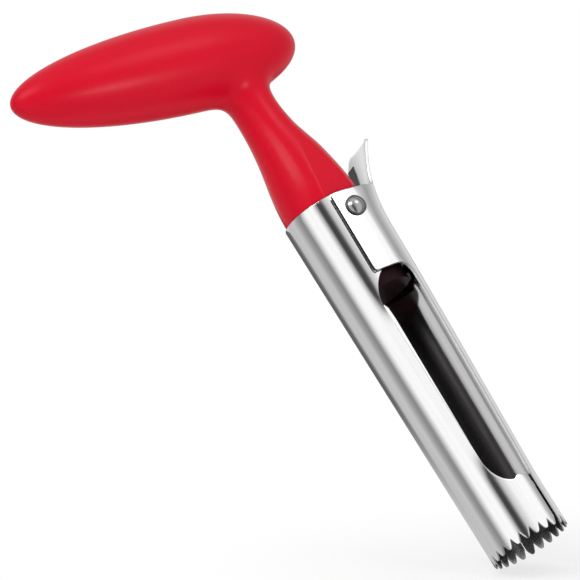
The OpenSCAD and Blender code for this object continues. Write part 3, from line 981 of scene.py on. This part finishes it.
wall = grow_node(
    tree, "ShaderNodeMapRange", [(wall_turn.outputs[0], "Value")], From_Min=-math.pi, From_Max=math.pi
)
walls = grow_node(tree, "ShaderNodeValToRGB", [(wall.outputs[0], "Fac")])
stops = walls.color_ramp.elements
while len(stops) < len(wall_greys):
    stops.new(0.5)
for stop, (turn, grey) in zip(stops, wall_greys):
    stop.position = (turn + 180) / 360
    stop.color = (grey, grey, grey, 1)
light_path = grow_node(tree, "ShaderNodeLightPath")
strength = grow_node(
    tree, "ShaderNodeMapRange", [(light_path.outputs["Is Diffuse Ray"], "Value")], To_Min=1.0, To_Max=0.55
)
plain = grow_node(tree, "ShaderNodeBackground", [(strength.outputs[0], "Strength")], Color=(1, 1, 1, 1))
mirrored = grow_node(tree, "ShaderNodeBackground", [(walls.outputs["Color"], "Color")], Strength=1.0)
seen = grow_node(
    tree,
    "ShaderNodeMixShader",
    [(light_path.outputs["Is Glossy Ray"], 0), (plain.outputs[0], 1), (mirrored.outputs[0], 2)],
)
tree.links.new(seen.outputs[0], output.inputs["Surface"])

lamp_away = 0.8
lamps = []
for name, way, size, power in (
    ("lamp_key", -screen_right * 0.55 + screen_up * 0.75 + back * 0.6, 0.4, 2.2),
    ("lamp_side", (back * 0.5 + level * 0.87) * 0.87 + Vector((0, 0, 0.5)), 0.3, 0.7),
    ("lamp_front", back * 0.77 + screen_right * 0.65 - screen_up * 0.02, 0.12, 1.3),
):
    lamp = put_in_scene(name, bpy.data.lights.new(name, "AREA"))
    lamp.data.size = size
    lamp.data.energy = power
    lamp.location = aim + way.normalized() * lamp_away
    lamp.rotation_euler = (-way).to_track_quat("-Z", "Y").to_euler()
    lamps.append(lamp)
front_lit = bpy.data.collections.new("front_lit")
front_lit.objects.link(grip_skin)
lamps[-1].light_linking.receiver_collection = front_lit

card_from, card_to, card_h = -60 * mm, 130 * mm, 140 * mm
card_turn = view_turn + math.radians(90)
card_out = Vector((math.cos(card_turn), math.sin(card_turn), 0))
card_side = Vector((-card_out.y, card_out.x, 0))
card_at = card_out * (70 * mm) + card_side * (30 * mm)
card_corners = []
for u, z in ((card_from, 0), (card_to, 0), (card_to, card_h), (card_from, card_h)):
    card_corners.append((card_at + card_side * u + Vector((0, 0, z)))[:])
card_mesh = bpy.data.meshes.new("grey_card")
card_mesh.from_pydata(card_corners, [], [[0, 1, 2, 3]])
card = put_in_scene("grey_card", card_mesh)
card_grey, tree, output = new_finish("grey_card")
place = grow_node(tree, "ShaderNodeNewGeometry").outputs["Position"]
apart = grow_node(tree, "ShaderNodeSeparateXYZ", [(place, "Vector")])
along = grow_node(tree, "ShaderNodeVectorMath", [(place, 0)], operation="DOT_PRODUCT")
along.inputs[1].default_value = card_side
rising, sideways = [
    grow_node(
        tree,
        "ShaderNodeMapRange",
        [(measure, "Value")],
        interpolation_type="SMOOTHSTEP",
        From_Min=pale_at,
        From_Max=dark_at,
    )
    for measure, pale_at, dark_at in (
        (apart.outputs["Z"], 30 * mm, 80 * mm),
        (along.outputs["Value"], 160 * mm, 70 * mm),
    )
]
dark_share = grow_node(
    tree, "ShaderNodeMath", [(rising.outputs[0], 0), (sideways.outputs[0], 1)], operation="MULTIPLY"
)
grey = grow_node(tree, "ShaderNodeMapRange", [(dark_share.outputs[0], "Value")], To_Min=0.56, To_Max=0.12)
glow = grow_node(tree, "ShaderNodeEmission", [(grey.outputs[0], "Color")], Strength=1.0)
tree.links.new(glow.outputs[0], output.inputs["Surface"])
card_mesh.materials.append(card_grey)
card.visible_camera = False
card.visible_diffuse = False
card.visible_shadow = False
bpy.context.scene.view_settings.view_transform = "Standard"
